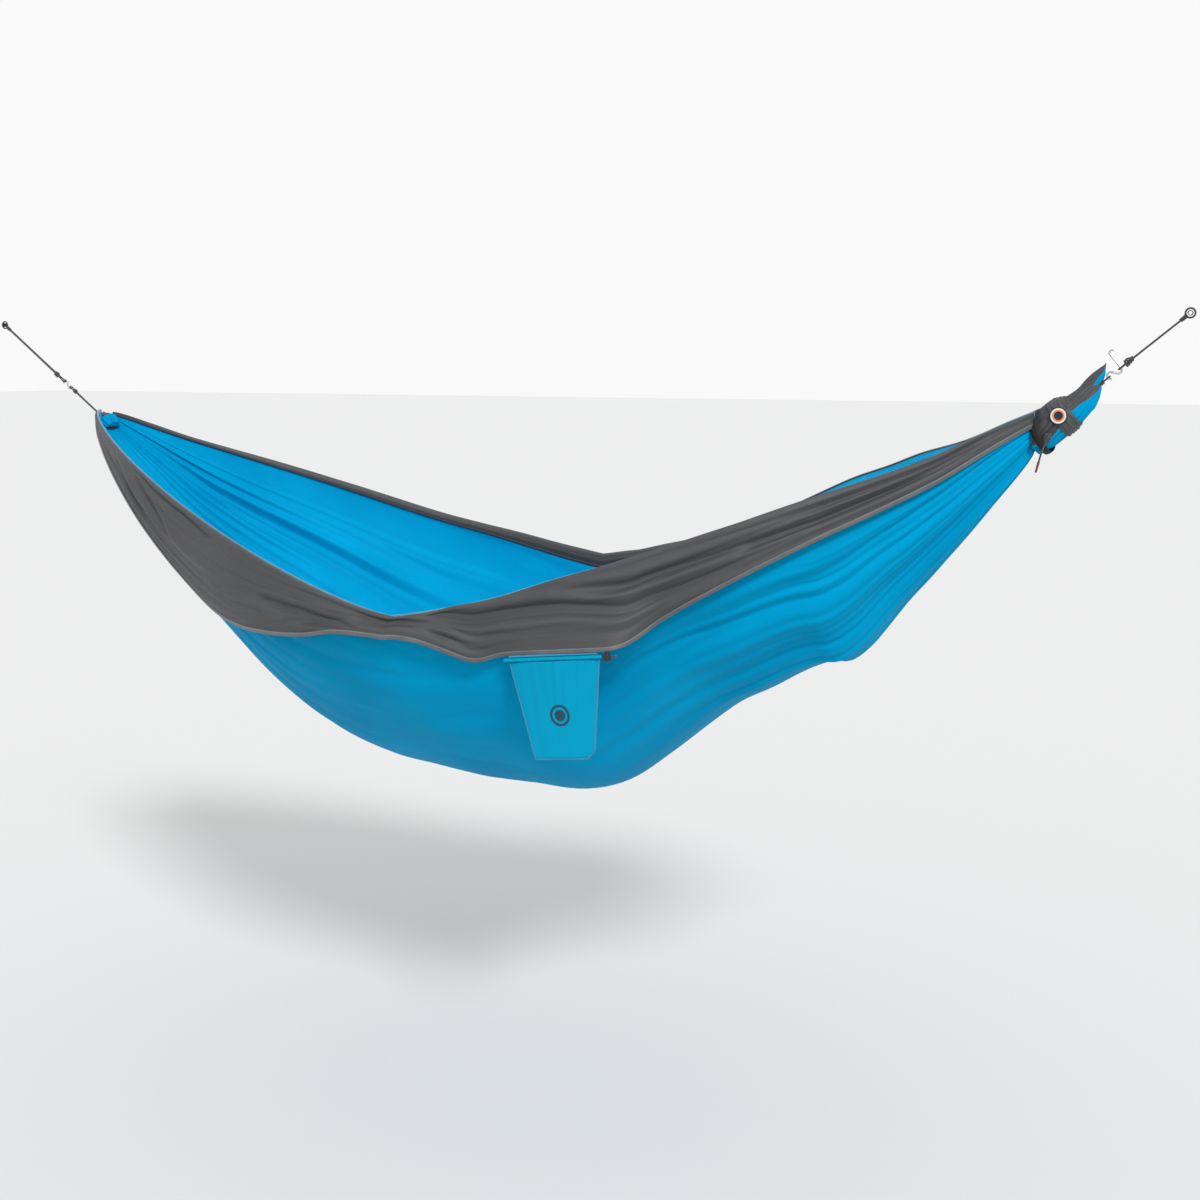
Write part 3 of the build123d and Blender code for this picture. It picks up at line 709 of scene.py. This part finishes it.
def seamPoint(along, across, side):
    place = placeAt(along)
    x, half, fold, depth, length = station(place)
    fold += lean(place, side)
    rise = 0.0
    if side > 0:
        rise = fromTable(edge["rearRise"], place)
        rise *= 0.45 if rise > 0 else 0.9
    points = [Vector(spot) for spot in ((half - 0.0024, fold - 0.004), (half - 0.0026, fold + 0.002),
                                        (half - 0.001, fold + 0.0055 + rise), (half + 0.0022, fold + 0.006 + rise),
                                        (half + 0.0045, fold + 0.0015 + rise))]
    lengths = [0.0]
    for first, second in zip(points, points[1:]):
        lengths.append(lengths[-1] + (second - first).length)
    here = alongCurve(points, lengths, across)
    return x, side * here.x, here.y


def makeEdge(sideName, side, seamCloth):
    length = centre["flat"][1]
    bm = clothGrid(edge["columns"], edge["rows"], lambda along, across: edgePoint(along, across, side), (length, 0.24))
    panel = finishPiece(sideName + "EdgePanel", bm, [greyNylon], [sideName + "_edge_panel"],
                        wall=edge["wall"])
    bm = clothGrid(edge["columns"], 4, lambda along, across: hemPoint(along, across, side), (length, 0.0105))
    hem = finishPiece(sideName + "Hem", bm, [greyHem], [sideName + "_hem"], wall=0.0026)
    bm = clothGrid(edge["columns"], 8, lambda along, across: seamPoint(along, across, side), (length, 0.016))
    seam = finishPiece(sideName + "Seam", bm, [seamCloth], [sideName + "_seam"], wall=0.001)


makeEdge("front", -1, blueSeam)
makeEdge("rear", 1, seamAndPaintedShade)
print("edge panels made")

# The gathered ends
ends = {
    "rightNeck": {"node": "right_end_neck", "pull": rightPull, "folds": 3.4, "deep": 0.17, "twist": 1.2,
                  "sections": ((0.41, -0.006, 0.031, 0.032), (0.385, -0.006, 0.037, 0.037),
                               (0.345, -0.005, 0.037, 0.037), (0.318, -0.004, 0.036, 0.037),
                               (0.29, -0.008, 0.027, 0.03), (0.262, -0.007, 0.02, 0.026), (0.24, -0.003, 0.012, 0.017),
                               (0.226, -0.001, 0.005, 0.007), (0.222, 0, 0.002, 0.002))},
    "horn": {"node": "right_end_neck", "pull": rightPull, "folds": 1.8, "deep": 0.22, "twist": 1.2,
             "sections": ((0.3, 0.002, 0.012, 0.022), (0.268, 0.006, 0.01, 0.0155), (0.242, 0.0085, 0.0085, 0.0165),
                          (0.22, 0.0125, 0.0065, 0.0145), (0.204, 0.0175, 0.0045, 0.009), (0.194, 0.023, 0.002, 0.003),
                          (0.188, 0.0265, 0.001, 0.001))},
    "leftChannel": {"node": "left_end_channel", "pull": leftPull, "folds": 3.2, "deep": 0.2, "twist": 0.8,
                    "sections": ((0.483, 0.003, 0.003, 0.002), (0.481, 0.003, 0.022, 0.014),
                                 (0.458, 0.005, 0.031, 0.022), (0.441, 0.001, 0.023, 0.018),
                                 (0.431, 0, 0.013, 0.011), (0.423, 0, 0.004, 0.004))},
}


def sectionAt(sections, share):
    spaced = share * (len(sections) - 1)
    index = min(int(spaced), len(sections) - 2)
    part = ease(spaced - index) * 0.4 + (spaced - index) * 0.6
    return [first + (second - first) * part for first, second in zip(sections[index], sections[index + 1])]


def ruffledPoint(end, along, around):
    distance, up, halfSide, halfUp = sectionAt(end["sections"], along)
    turn = 2 * math.pi * around
    swirl = turn + end["twist"] * along
    k = end["folds"]
    value = noise.noise(Vector((math.cos(swirl) * k, math.sin(swirl) * k, along * 2.2)))
    fine = noise.noise(Vector((math.cos(swirl) * k * 2.4, math.sin(swirl) * k * 2.4, along * 5 + 9)))
    swell = 1 + end["deep"] * (1.6 * abs(value) - 0.35) + 0.3 * end["deep"] * fine
    return onPull(end["pull"], distance, up + math.sin(turn) * halfUp * swell, math.cos(turn) * halfSide * swell)


def makeEnd(name, size, colourOf):
    end = ends[name]
    bm = clothGrid(90, 150, lambda along, around: ruffledPoint(end, along, around), size, joined=True,
                   colourOf=colourOf)
    return finishPiece(name, bm, [greyNylon, blueNylon], [end["node"]])


def neckColour(along, around):
    return 1 if math.sin(2 * math.pi * around) < -0.3 - 0.25 * math.sin(9 * along) else 0


def channelColour(along, around):
    return 1 if along < 0.45 and math.sin(2 * math.pi * around) > -0.1 else 0


rightNeck = makeEnd("rightNeck", (0.25, 0.25), neckColour)
horn = makeEnd("horn", (0.12, 0.06), neckColour)
leftChannel = makeEnd("leftChannel", (0.08, 0.16), channelColour)

wrap = {"bandFrom": 0.299, "bandTo": 0.337, "bandGrow": 0.0032,
        "strapWide": 0.0135, "strapGrow": 0.0058, "strapOver": 0.0095,
        "turns": ((-0.018, 0.374), (-0.012, 0.38))}


def neckSize(distance):
    sections = ends["rightNeck"]["sections"]
    for first, second in zip(sections, sections[1:]):
        if distance >= second[0]:
            break
    part = (distance - first[0]) / (second[0] - first[0])
    return [a + (b - a) * part for a, b in zip(first, second)]


def bandPoint(along, around):
    distance = wrap["bandFrom"] + (wrap["bandTo"] - wrap["bandFrom"]) * along
    turn = 2 * math.pi * around
    distance -= 0.0035 * math.sin(turn)
    size = neckSize(distance)
    value = noise.noise(Vector((along * 5, math.cos(turn) * 1.2, math.sin(turn) * 1.2)))
    grow = wrap["bandGrow"] + 0.0022 * (abs(value) * 2 - 0.3) + 0.0012 * math.sin(math.pi * along)
    return onPull(rightPull, distance, size[1] + math.sin(turn) * (size[3] + grow), math.cos(turn) * (size[2] + grow))


def strapPoint(along, around, slant, middle):
    turn = 2 * math.pi * around
    distance = middle + slant * math.sin(turn + 0.4) + (along - 0.5) * wrap["strapWide"]
    size = neckSize(distance)
    over = wrap["strapOver"] * ease((distance - 0.352) / 0.02) * max(-math.cos(turn), 0)
    grow = wrap["strapGrow"] + 0.0016 * math.sin(math.pi * along) + over
    return onPull(rightPull, distance, size[1] + math.sin(turn) * (size[3] + grow), math.cos(turn) * (size[2] + grow))


strapBlack = clothMaterial("strapBlack", (0.012, 0.012, 0.013), (0.007, 0.007, 0.008), roughness=0.62, sheen=0.3)
bm = clothGrid(40, 120, bandPoint, (0.04, 0.24), joined=True)
neckBand = finishPiece("neckBand", bm, [greyNylon], ["neck_band"], wall=0.0012)
strapMeshes = []
for slant, middle in wrap["turns"]:
    bm = clothGrid(8, 90, lambda along, around: strapPoint(along, around, slant, middle), (0.01, 0.25), joined=True)
    strapMeshes.append(toMesh("strapWrap", bm))
finishPiece("neckStrap", joinMeshes(strapMeshes), [strapBlack], ["neck_strap"], wall=0.0014)
print("gathered ends made")


# Knots, eyes and whippings
def wrapPoints(start, end, upReach, sideReach, turns, grow=1.0, perTurn=9):
    count = int(turns * perTurn)
    points = []
    for step in range(count + 1):
        share = step / count
        turn = 2 * math.pi * turns * share
        reach = (upReach * math.cos(turn) + sideReach * math.sin(turn)) * (1 + (grow - 1) * share)
        points.append(start.lerp(end, share) + reach)
    return points


def pullWrap(pull, start, end, up, upRadius, sideRadius, turns, grow):
    return wrapPoints(onPull(pull, start, up), onPull(pull, end, up), pull[2] * upRadius,
                      Vector((0, sideRadius, 0)), turns, grow)


knots = [
    ("leftSlingKnot", "left_sling_knot", leftPull, (0.2285, 0.2415, -0.001, 0.0048, 0.0052, 2.6, 1.0), 0.002),
    ("rightSlingKnot", "right_sling_knot", rightPull, (0.141, 0.16, 0, 0.0036, 0.0042, 3.4, 2.1), 0.0021),
    ("leftGatherKnot", "left_gather_knot", leftPull, (0.3115, 0.3205, 0, 0.0042, 0.0044, 2.6, 1.0), 0.0018),
    ("rightGatherKnot", "right_gather_knot", rightPull, (0.2155, 0.2255, 0, 0.0042, 0.0044, 2.6, 1.0), 0.0018),
    ("leftAnchorKnot", "left_anchor_knot", leftPull, (0.0105, 0.026, 0, 0.0042, 0.0042, 7, 0.82), 0.0011),
    ("rightAnchorKnot", "right_anchor_knot", rightPull, (0.0105, 0.024, 0, 0.0042, 0.0042, 6, 0.82), 0.0011),
    ("leftLashing", "left_lashing", leftPull, (0.4305, 0.438, 0, 0.0135, 0.0165, 2.7, 1.12), 0.0016),
]


def makeKnots():
    for name, node, pull, shape, thick in knots:
        start, end, up, upRadius, sideRadius, turns, grow = shape
        meshes = [tubeMesh(name, pullWrap(pull, start, end, up, upRadius, sideRadius, turns, grow), thick)]
        if "SlingKnot" in name or "GatherKnot" in name:
            slant = [onPull(pull, start - 0.002, up, -sideRadius * 0.4),
                     onPull(pull, start + (end - start) * 0.2, up + upRadius * 1.2, -sideRadius * 0.9),
                     onPull(pull, start + (end - start) * 0.8, up + upRadius * 1.2 * grow, sideRadius * 0.9 * grow),
                     onPull(pull, end + 0.001, up, sideRadius * 0.4 * grow)]
            meshes.append(tubeMesh(name, slant, thick))
        finishPiece(name, joinMeshes(meshes), [blackRope], [node])


def makeEyes():
    for name, anchor in (("left", leftAnchor), ("right", rightAnchor)):
        ring = [anchor + Vector((math.cos(step * math.pi / 8), 0, math.sin(step * math.pi / 8))) * 0.0098
                for step in range(16)]
        mesh = tubeMesh(name + "AnchorEye", ring, 0.002, 4, closed=True)
        finishPiece(name + "AnchorEye", mesh, [blackRope], [name + "_anchor_eye"])


makeKnots()
makeEyes()
print("knots and eyes made")

# The strap's knot and its tail with a brown tip
tail = {"route": ((2.9701, -0.045, -0.2676), (2.965, -0.0455, -0.281), (2.9615, -0.045, -0.294),
                  (2.958, -0.044, -0.308)), "thick": 0.004, "length": 0.0423}


def makeStrapTail():
    low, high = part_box("strap_knot")
    middle = (low + high) / 2
    axis = Vector((-0.375, 0, -0.927))
    turned = wrapPoints(middle - axis * 0.008, middle + axis * 0.008, Vector((0.0055, 0, -0.002)),
                        Vector((0, 0.003, 0)), 2.7)
    slant = [middle + Vector((0.006, -0.001, 0.009)), middle + Vector((0.004, -0.0065, 0.004)),
             middle + Vector((-0.004, -0.0065, -0.004)), middle + Vector((-0.004, -0.001, -0.01))]
    knot = joinMeshes([tubeMesh("strapKnot", turned, 0.0028), tubeMesh("strapKnot", slant, 0.0026)])
    finishPiece("strapKnot", knot, [blackRope], ["strap_knot"])
    curve = cordCurve("strapTail", tail["route"], tail["thick"] / 2)
    piece = finishPiece("strapTail", curve, [blackRope], ["strap_tail"])
    end = Vector(tail["route"][-1])
    down = (end - Vector(tail["route"][-2])).normalized()
    bm = bmesh.new()
    bmesh.ops.create_cone(bm, cap_ends=True, segments=24, radius1=0.0028, radius2=0.0022, depth=0.024)
    bmesh.ops.bevel(bm, geom=[e for e in bm.edges if abs(e.verts[0].co.z - e.verts[1].co.z) < 1e-6],
                    offset=0.0007, segments=3, profile=0.5, affect="EDGES", material=-1)
    bmesh.ops.rotate(bm, verts=bm.verts, matrix=down.to_track_quat("Z", "Y").to_matrix())
    bmesh.ops.translate(bm, verts=bm.verts, vec=end + down * 0.012)
    tip = finishPiece("strapTailTip", bm, [tipBrown], ["strap_tail_tip"])


makeStrapTail()

# The round badge on the neck's band
badge = {"radius": 0.0182,
         "rings": ((0.0012, -0.0005, 0), (0.0034, 0.0004, 1), (0.0034, 0.0003, 2), (0.0008, -0.0004, 0))}


def makeBadge():
    low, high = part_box("neck_badge")
    middle = (low + high) / 2
    bm = bmesh.new()
    bmesh.ops.create_cone(bm, cap_ends=True, segments=64, radius1=badge["radius"], radius2=badge["radius"],
                          depth=high.y - low.y)
    rim = [e for e in bm.edges if abs(e.verts[0].co.z - e.verts[1].co.z) < 1e-6]
    bmesh.ops.bevel(bm, geom=rim, offset=0.0009, segments=3, profile=0.5, affect="EDGES", material=-1)
    face = max(bm.faces, key=lambda f: f.calc_center_median().z)
    for inset, depth, colour in badge["rings"]:
        made = bmesh.ops.inset_region(bm, faces=[face], thickness=inset, depth=depth)
        for ring in made["faces"]:
            ring.material_index = colour
    face.material_index = 0
    bmesh.ops.rotate(bm, verts=bm.verts, matrix=Vector((0, -1, 0)).to_track_quat("Z", "Y").to_matrix())
    bmesh.ops.translate(bm, verts=bm.verts, vec=middle)
    finishPiece("neckBadge", bm, [badgeNavy, badgePale, badgeOrange], ["neck_badge"])


makeBadge()
print("strap tail and badge made")

# The pouch, in its own frame: x along its mouth, y outwards to the rear, z up
pouch = {"topHalf": 0.106, "bottomHalf": 0.069, "height": 0.222, "top": -0.01, "side": 0.005,
         "channelHalf": 0.118, "channelDrop": 0.005, "tailEnd": 0.148, "cordStart": -0.114}


def pouchSpot(x, y, z):
    return pouchCentre + pouchAlong * x + Vector((0, y, 0)) + pouchUp * z


def wallDepth(part, share, side):
    bulge = 0.008 - 0.007 * share ** 1.5
    soft = noise.noise(Vector((part * 1.6, share * 2.4, side * 4.0))) * 0.0022
    drawn = noise.noise(Vector((part * 7 + share, share * 1.3, side * 9.0))) * 0.0022 * (1 - share)
    edges = (1 - part * part) ** 0.5
    return side * (0.0003 + bulge * (1 - part * part) + edges * (soft + drawn))


def wallHalf(share):
    return pouch["topHalf"] + (pouch["bottomHalf"] - pouch["topHalf"]) * share


def wallPoint(along, down, side):
    part = 2 * along - 1
    height = pouch["top"] - (pouch["height"] + pouch["top"]) * down
    x = part * wallHalf(down)
    if part > 0:
        x -= 0.012 * part ** 3 * ease((down - 0.93) / 0.07)
    return pouchSpot(x, pouch["side"] + wallDepth(part, down, side), height)


def makePouch():
    for name, side in (("front", -1), ("back", 1)):
        bm = clothGrid(90, 90, lambda along, down: wallPoint(along, down, side), (0.212, 0.212))
        wall = finishPiece("pouch" + name.title(), bm, [pouchNylon], ["pouch_" + name], wall=0.0008,
                           offset=0.0)
    for name, side in (("left", -1), ("right", 1)):
        def sidePoint(along, around):
            turn = 2 * math.pi * around
            height = pouch["top"] - (pouch["height"] + pouch["top"]) * along
            x = side * (wallHalf(along) + 0.0012)
            if side > 0:
                x -= 0.012 * ease((along - 0.93) / 0.07)
            x += 0.0006 * noise.noise(Vector((along * 30, side, 0)))
            return pouchSpot(x + 0.0019 * math.cos(turn), pouch["side"] + 0.0024 * math.sin(turn), height)
        bm = clothGrid(120, 12, sidePoint, (0.212, 0.012), joined=True)
        bmesh.ops.holes_fill(bm, edges=[e for e in bm.edges if e.is_boundary])
        finishPiece("pouch" + name.title() + "Seam", bm, [pouchSeam], ["pouch_" + name + "_seam"])

    def bottomPoint(along, around):
        turn = 2 * math.pi * around
        x = (2 * along - 1) * (pouch["bottomHalf"] + 0.002) - 0.011 * ease((along - 0.92) / 0.08)
        return pouchSpot(x, pouch["side"] + 0.0028 * math.sin(turn), -pouch["height"] - 0.0015 + 0.002 * math.cos(turn))

    bm = clothGrid(90, 12, bottomPoint, (0.142, 0.014), joined=True)
    bmesh.ops.holes_fill(bm, edges=[e for e in bm.edges if e.is_boundary])
    finishPiece("pouchBottomSeam", bm, [pouchSeam], ["pouch_bottom_seam"])

    def channelPoint(along, around):
        turn = 2 * math.pi * around
        x = (2 * along - 1) * pouch["channelHalf"]
        pucker = 0.0007 * noise.noise(Vector((x * 120, math.cos(turn), math.sin(turn))))
        pucker += 0.0004 * noise.noise(Vector((x * 300, math.cos(turn) * 2, math.sin(turn) * 2)))
        reach = 0.0042 + pucker
        return pouchSpot(x, reach * math.cos(turn), -pouch["channelDrop"] + reach * math.sin(turn))

    bm = clothGrid(240, 24, channelPoint, (0.236, 0.027), joined=True)
    finishPiece("pouchChannel", bm, [pouchNylon], ["pouch_mouth_channel"], wall=0.0007, offset=-1.0)

    def tapePoint(along, across):
        x = (2 * along - 1) * pouch["topHalf"]
        return pouchSpot(x, 0.0002 * math.sin(x * 200), 0.0004 + 0.005 * across)

    bm = clothGrid(120, 3, tapePoint, (0.212, 0.0036))
    finishPiece("pouchTape", bm, [pouchSeam], ["pouch_hinge_tape"], wall=0.0007)


def makePrint():
    # A plain printed ring with a dot, laid on the front of the pouch
    ink = {"x": 0.003, "z": -0.128, "gap": 0.0011, "rings": ((0.0185, 0.0235), (0.0, 0.0125))}
    meshes = []
    for inner, outer in ink["rings"]:
        def inkPoint(around, outward):
            turn, reach = 2 * math.pi * around, inner + (outer - inner) * outward
            x, z = ink["x"] + reach * math.cos(turn), ink["z"] + reach * math.sin(turn)
            share = (pouch["top"] - z) / (pouch["height"] + pouch["top"])
            return pouchSpot(x, pouch["side"] + wallDepth(x / wallHalf(share), share, -1) - ink["gap"], z)

        bm = clothGrid(72, 6, inkPoint, (0.12, outer - inner), joined=True)
        meshes.append(toMesh("inkRing", bm))
    mesh = toMesh("pouchPrint", joinMeshes(meshes))
    mesh.materials.append(printInk)
    inkPiece = link(bpy.data.objects.new("pouchPrint", mesh))
    solidify = inkPiece.modifiers.new("ink", "SOLIDIFY")
    solidify.thickness = 0.0002
    solidify.offset = 0
    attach(inkPiece, "pouch")


def makeDrawcord():
    route = [pouchSpot(pouch["cordStart"] + (pouch["tailEnd"] - pouch["cordStart"]) * share, 0, -pouch["channelDrop"])
             for share in (0, 0.33, 0.67, 1)]
    cordPiece = finishPiece("pouchDrawcord", cordCurve("pouchDrawcord", route, 0.0015), [blackRope],
                            ["pouch_drawcord"])
    start = pouchSpot(pouch["tailEnd"] - 0.002, 0, -pouch["channelDrop"])
    end = pouchSpot(pouch["tailEnd"] + 0.0026, 0, -pouch["channelDrop"])
    knot = joinMeshes([tubeMesh("drawcordKnot", wrapPoints(start, end, pouchUp * 0.0018, Vector((0, 0.0018, 0)), 2.3),
                                0.0012)])
    knotPiece = finishPiece("drawcordKnot", knot, [blackRope], ["drawcord_knot"])


makePouch()
makePrint()
makeDrawcord()
print("pouch made")

# CAD nodes that keep their own mesh
keptNodes = {
    "left_anchor_bush": bushSteel, "right_anchor_bush": bushSteel, "left_s_hook": steelWire,
    "right_s_hook": steelWire, "cord_lock_body": lockPlastic, "cord_lock_button": lockPlastic,
    "cord_lock_spring": bushSteel,
}
for node, material in keptNodes.items():
    nodes[node].data.materials.clear()
    nodes[node].data.materials.append(material)
print("hooks, bushes and cord lock finished")


def makeFloor():
    bm = bmesh.new()
    bmesh.ops.create_grid(bm, x_segments=2, y_segments=2, size=stage["floorSize"])
    bmesh.ops.translate(bm, verts=bm.verts, vec=(1.6, 0, cadBounds[0][2] - stage["floorGap"]))
    mesh = toMesh("floor", bm)
    floor = link(bpy.data.objects.new("floor", mesh))
    floorMaterial = newMaterial("paleFloor", stage["floorColour"], 0.9)[0]
    mesh.materials.append(floorMaterial)


makeFloor()
